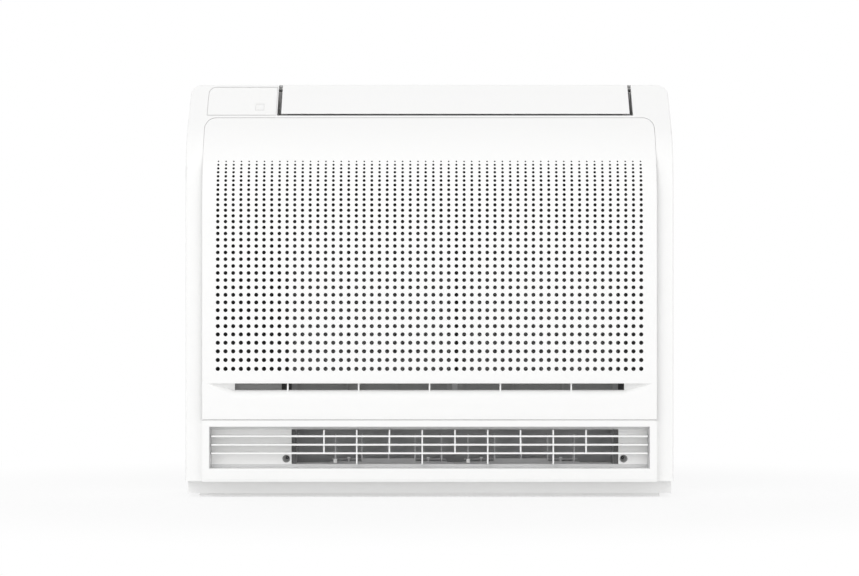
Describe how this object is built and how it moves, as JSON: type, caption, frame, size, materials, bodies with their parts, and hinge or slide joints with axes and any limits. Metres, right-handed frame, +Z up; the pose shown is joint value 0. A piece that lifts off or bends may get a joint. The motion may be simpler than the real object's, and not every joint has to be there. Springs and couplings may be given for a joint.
{
  "type": "floor console air conditioner",
  "caption": "White floor console air conditioner with a perforated bowed front panel, an inlet slot, a lower outlet grille with swinging guide vanes and an upper outlet flap.",
  "frame": {"origin": "centre of the base on the floor", "axes": "+X to the right as seen from the front, +Y to the back against the wall, +Z up"},
  "size_m": [0.7, 0.21, 0.6],
  "materials": {
    "white_plastic": "satin",
    "receiver_plastic": "satin",
    "duct_plastic": "matte",
    "vane_plastic": "satin",
    "filter_sheet": "matte",
    "box_plastic": "matte",
    "painted_steel": "satin",
    "zinc_steel": "satin"
  },
  "bodies": {
    "console": {"case": "white_plastic", "control_cover": "white_plastic", "front_panel": "white_plastic", "outlet_frame": "white_plastic", "outlet_grille": "white_plastic", "receiver_window": "receiver_plastic", "upper_duct": "duct_plastic", "lower_duct": "duct_plastic", "inner_frame": "duct_plastic", "air_filter_left": "filter_sheet", "air_filter_right": "filter_sheet", "control_box": "box_plastic", "plinth": "white_plastic", "base_pan": "painted_steel", "back_plate": "zinc_steel", "vane_rail_left": "vane_plastic", "vane_rail_right": "vane_plastic"},
    "flap": {"upper_flap": "white_plastic"},
    "vane_left_1": {"guide_vane_left_1": "vane_plastic"},
    "vane_left_2": {"guide_vane_left_2": "vane_plastic"},
    "vane_left_3": {"guide_vane_left_3": "vane_plastic"},
    "vane_left_4": {"guide_vane_left_4": "vane_plastic"},
    "vane_left_5": {"guide_vane_left_5": "vane_plastic"},
    "link_left": {"vane_link_left": "vane_plastic"},
    "vane_right_1": {"guide_vane_right_1": "vane_plastic"},
    "vane_right_2": {"guide_vane_right_2": "vane_plastic"},
    "vane_right_3": {"guide_vane_right_3": "vane_plastic"},
    "vane_right_4": {"guide_vane_right_4": "vane_plastic"},
    "vane_right_5": {"guide_vane_right_5": "vane_plastic"},
    "link_right": {"vane_link_right": "vane_plastic"}
  },
  "joints": [
    {"name": "flap_hinge", "type": "hinge", "parent": "console", "child": "flap", "pos_m": [0.038, 0.04368, 0.592], "axis": [-1, 0, 0], "range_deg": [0, 75]},
    {"name": "vanes_left_swing", "type": "hinge", "parent": "console", "child": "vane_left_1", "pos_m": [-0.1354, -0.0547, 0.048], "axis": [0, 0, 1], "range_deg": [-30, 30]},
    {"name": "vane_left_2_swing", "type": "hinge", "parent": "console", "child": "vane_left_2", "pos_m": [-0.0972, -0.0547, 0.048], "axis": [0, 0, 1], "range_deg": [-30, 30]},
    {"name": "vane_left_3_swing", "type": "hinge", "parent": "console", "child": "vane_left_3", "pos_m": [-0.059, -0.0547, 0.048], "axis": [0, 0, 1], "range_deg": [-30, 30]},
    {"name": "vane_left_4_swing", "type": "hinge", "parent": "console", "child": "vane_left_4", "pos_m": [-0.0208, -0.0547, 0.048], "axis": [0, 0, 1], "range_deg": [-30, 30]},
    {"name": "vane_left_5_swing", "type": "hinge", "parent": "console", "child": "vane_left_5", "pos_m": [0.0174, -0.0547, 0.048], "axis": [0, 0, 1], "range_deg": [-30, 30]},
    {"name": "link_left_slide", "type": "slide", "parent": "console", "child": "link_left", "axis": [1, 0, 0], "range_m": [-0.0065, 0.0065]},
    {"name": "vanes_right_swing", "type": "hinge", "parent": "console", "child": "vane_right_1", "pos_m": [0.0556, -0.0547, 0.048], "axis": [0, 0, 1], "range_deg": [-30, 30]},
    {"name": "vane_right_2_swing", "type": "hinge", "parent": "console", "child": "vane_right_2", "pos_m": [0.0938, -0.0547, 0.048], "axis": [0, 0, 1], "range_deg": [-30, 30]},
    {"name": "vane_right_3_swing", "type": "hinge", "parent": "console", "child": "vane_right_3", "pos_m": [0.132, -0.0547, 0.048], "axis": [0, 0, 1], "range_deg": [-30, 30]},
    {"name": "vane_right_4_swing", "type": "hinge", "parent": "console", "child": "vane_right_4", "pos_m": [0.1702, -0.0547, 0.048], "axis": [0, 0, 1], "range_deg": [-30, 30]},
    {"name": "vane_right_5_swing", "type": "hinge", "parent": "console", "child": "vane_right_5", "pos_m": [0.2084, -0.0547, 0.048], "axis": [0, 0, 1], "range_deg": [-30, 30]},
    {"name": "link_right_slide", "type": "slide", "parent": "console", "child": "link_right", "axis": [1, 0, 0], "range_m": [-0.0065, 0.0065]}
  ],
  "couplings": [
    {"joint": "vane_left_2_swing", "follows": "vanes_left_swing", "ratio": 1},
    {"joint": "vane_left_3_swing", "follows": "vanes_left_swing", "ratio": 1},
    {"joint": "vane_left_4_swing", "follows": "vanes_left_swing", "ratio": 1},
    {"joint": "vane_left_5_swing", "follows": "vanes_left_swing", "ratio": 1},
    {"joint": "link_left_slide", "follows": "vanes_left_swing", "m_per_rad": -0.011},
    {"joint": "vane_right_2_swing", "follows": "vanes_right_swing", "ratio": 1},
    {"joint": "vane_right_3_swing", "follows": "vanes_right_swing", "ratio": 1},
    {"joint": "vane_right_4_swing", "follows": "vanes_right_swing", "ratio": 1},
    {"joint": "vane_right_5_swing", "follows": "vanes_right_swing", "ratio": 1},
    {"joint": "link_right_slide", "follows": "vanes_right_swing", "m_per_rad": -0.011}
  ]
}
